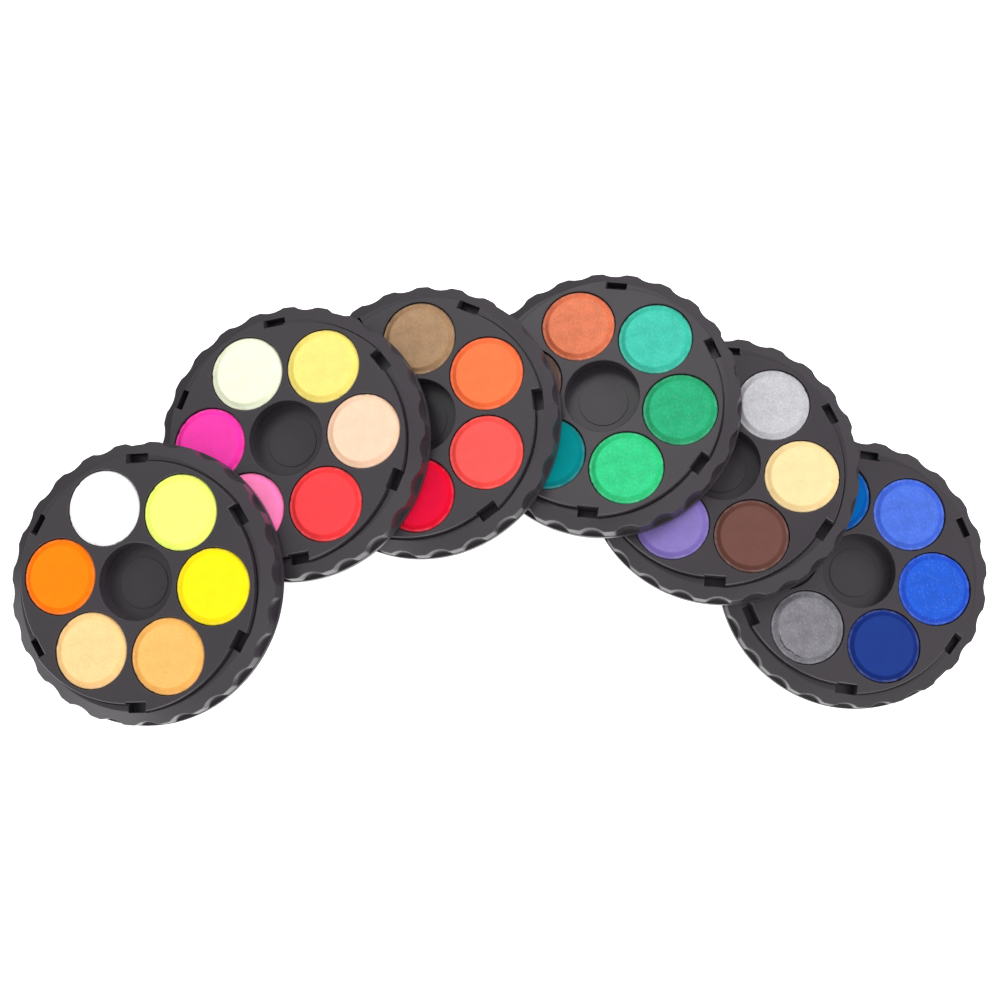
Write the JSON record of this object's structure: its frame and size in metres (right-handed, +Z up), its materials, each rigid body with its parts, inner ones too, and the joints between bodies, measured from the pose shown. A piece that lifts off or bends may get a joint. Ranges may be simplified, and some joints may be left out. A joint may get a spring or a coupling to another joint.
{
  "type": "watercolor pan set",
  "caption": "Watercolour pan set: round scalloped twist-stack trays leaning in an arch, each with a ring of round paint cakes round an empty mixing well.",
  "frame": {"origin": "middle of the arch of trays, on the surface that they lie on", "axes": "+Z up, +X from the first tray of the arch to the flat last one, +Y towards the arch's crown"},
  "size_m": [0.3275, 0.1581, 0.0377],
  "materials": {
    "tray_plastic": "satin moulded dark grey plastic",
    "paint_1_yellow": "matt pressed watercolour cake",
    "paint_1_lemon": "matt pressed watercolour cake",
    "paint_1_white": "matt pressed watercolour cake",
    "paint_1_orange": "matt pressed watercolour cake",
    "paint_1_peach": "matt pressed watercolour cake",
    "paint_1_apricot": "matt pressed watercolour cake",
    "paint_2_peach": "matt pressed watercolour cake",
    "paint_2_yellow": "matt pressed watercolour cake",
    "paint_2_cream": "matt pressed watercolour cake",
    "paint_2_magenta": "matt pressed watercolour cake",
    "paint_2_pink": "matt pressed watercolour cake",
    "paint_2_red": "matt pressed watercolour cake",
    "paint_3_orange": "matt pressed watercolour cake",
    "paint_3_olive": "matt pressed watercolour cake",
    "paint_3_umber": "matt pressed watercolour cake",
    "paint_3_maroon": "matt pressed watercolour cake",
    "paint_3_crimson": "matt pressed watercolour cake",
    "paint_3_coral": "matt pressed watercolour cake",
    "paint_4_green": "pearly pressed watercolour cake",
    "paint_4_mint": "pearly pressed watercolour cake",
    "paint_4_rust": "pearly pressed watercolour cake",
    "paint_4_brown": "matt pressed watercolour cake",
    "paint_4_teal": "matt pressed watercolour cake",
    "paint_4_emerald": "pearly pressed watercolour cake",
    "paint_5_cream": "matt pressed watercolour cake",
    "paint_5_silver": "pearly pressed watercolour cake",
    "paint_5_gold": "pearly pressed watercolour cake",
    "paint_5_bronze": "pearly pressed watercolour cake",
    "paint_5_purple": "matt pressed watercolour cake",
    "paint_5_brown": "matt pressed watercolour cake",
    "paint_6_cobalt": "pearly pressed watercolour cake",
    "paint_6_blue": "pearly pressed watercolour cake",
    "paint_6_azure": "matt pressed watercolour cake",
    "paint_6_black": "matt pressed watercolour cake",
    "paint_6_grey": "pearly pressed watercolour cake",
    "paint_6_navy": "matt pressed watercolour cake"
  },
  "bodies": {
    "pan_tray_1": {"tray_1": "tray_plastic", "cake_1_yellow": "paint_1_yellow", "cake_1_lemon": "paint_1_lemon", "cake_1_white": "paint_1_white", "cake_1_orange": "paint_1_orange", "cake_1_peach": "paint_1_peach", "cake_1_apricot": "paint_1_apricot"},
    "pan_tray_2": {"tray_2": "tray_plastic", "cake_2_peach": "paint_2_peach", "cake_2_yellow": "paint_2_yellow", "cake_2_cream": "paint_2_cream", "cake_2_magenta": "paint_2_magenta", "cake_2_pink": "paint_2_pink", "cake_2_red": "paint_2_red"},
    "pan_tray_3": {"tray_3": "tray_plastic", "cake_3_orange": "paint_3_orange", "cake_3_olive": "paint_3_olive", "cake_3_umber": "paint_3_umber", "cake_3_maroon": "paint_3_maroon", "cake_3_crimson": "paint_3_crimson", "cake_3_coral": "paint_3_coral"},
    "pan_tray_4": {"tray_4": "tray_plastic", "cake_4_green": "paint_4_green", "cake_4_mint": "paint_4_mint", "cake_4_rust": "paint_4_rust", "cake_4_brown": "paint_4_brown", "cake_4_teal": "paint_4_teal", "cake_4_emerald": "paint_4_emerald"},
    "pan_tray_5": {"tray_5": "tray_plastic", "cake_5_cream": "paint_5_cream", "cake_5_silver": "paint_5_silver", "cake_5_gold": "paint_5_gold", "cake_5_bronze": "paint_5_bronze", "cake_5_purple": "paint_5_purple", "cake_5_brown": "paint_5_brown"},
    "pan_tray_6": {"tray_6": "tray_plastic", "cake_6_cobalt": "paint_6_cobalt", "cake_6_blue": "paint_6_blue", "cake_6_azure": "paint_6_azure", "cake_6_black": "paint_6_black", "cake_6_grey": "paint_6_grey", "cake_6_navy": "paint_6_navy"}
  },
  "joints": [
    {"name": "tray_5_lift", "type": "slide", "parent": "pan_tray_6", "child": "pan_tray_5", "axis": [0, 0, 1], "range_m": [0, 0.05]},
    {"name": "tray_4_lift", "type": "slide", "parent": "pan_tray_5", "child": "pan_tray_4", "axis": [0, 0, 1], "range_m": [0, 0.05]},
    {"name": "tray_3_lift", "type": "slide", "parent": "pan_tray_4", "child": "pan_tray_3", "axis": [0, 0, 1], "range_m": [0, 0.05]},
    {"name": "tray_2_lift", "type": "slide", "parent": "pan_tray_3", "child": "pan_tray_2", "axis": [0, 0, 1], "range_m": [0, 0.05]},
    {"name": "tray_1_lift", "type": "slide", "parent": "pan_tray_2", "child": "pan_tray_1", "axis": [0, 0, 1], "range_m": [0, 0.05]}
  ]
}
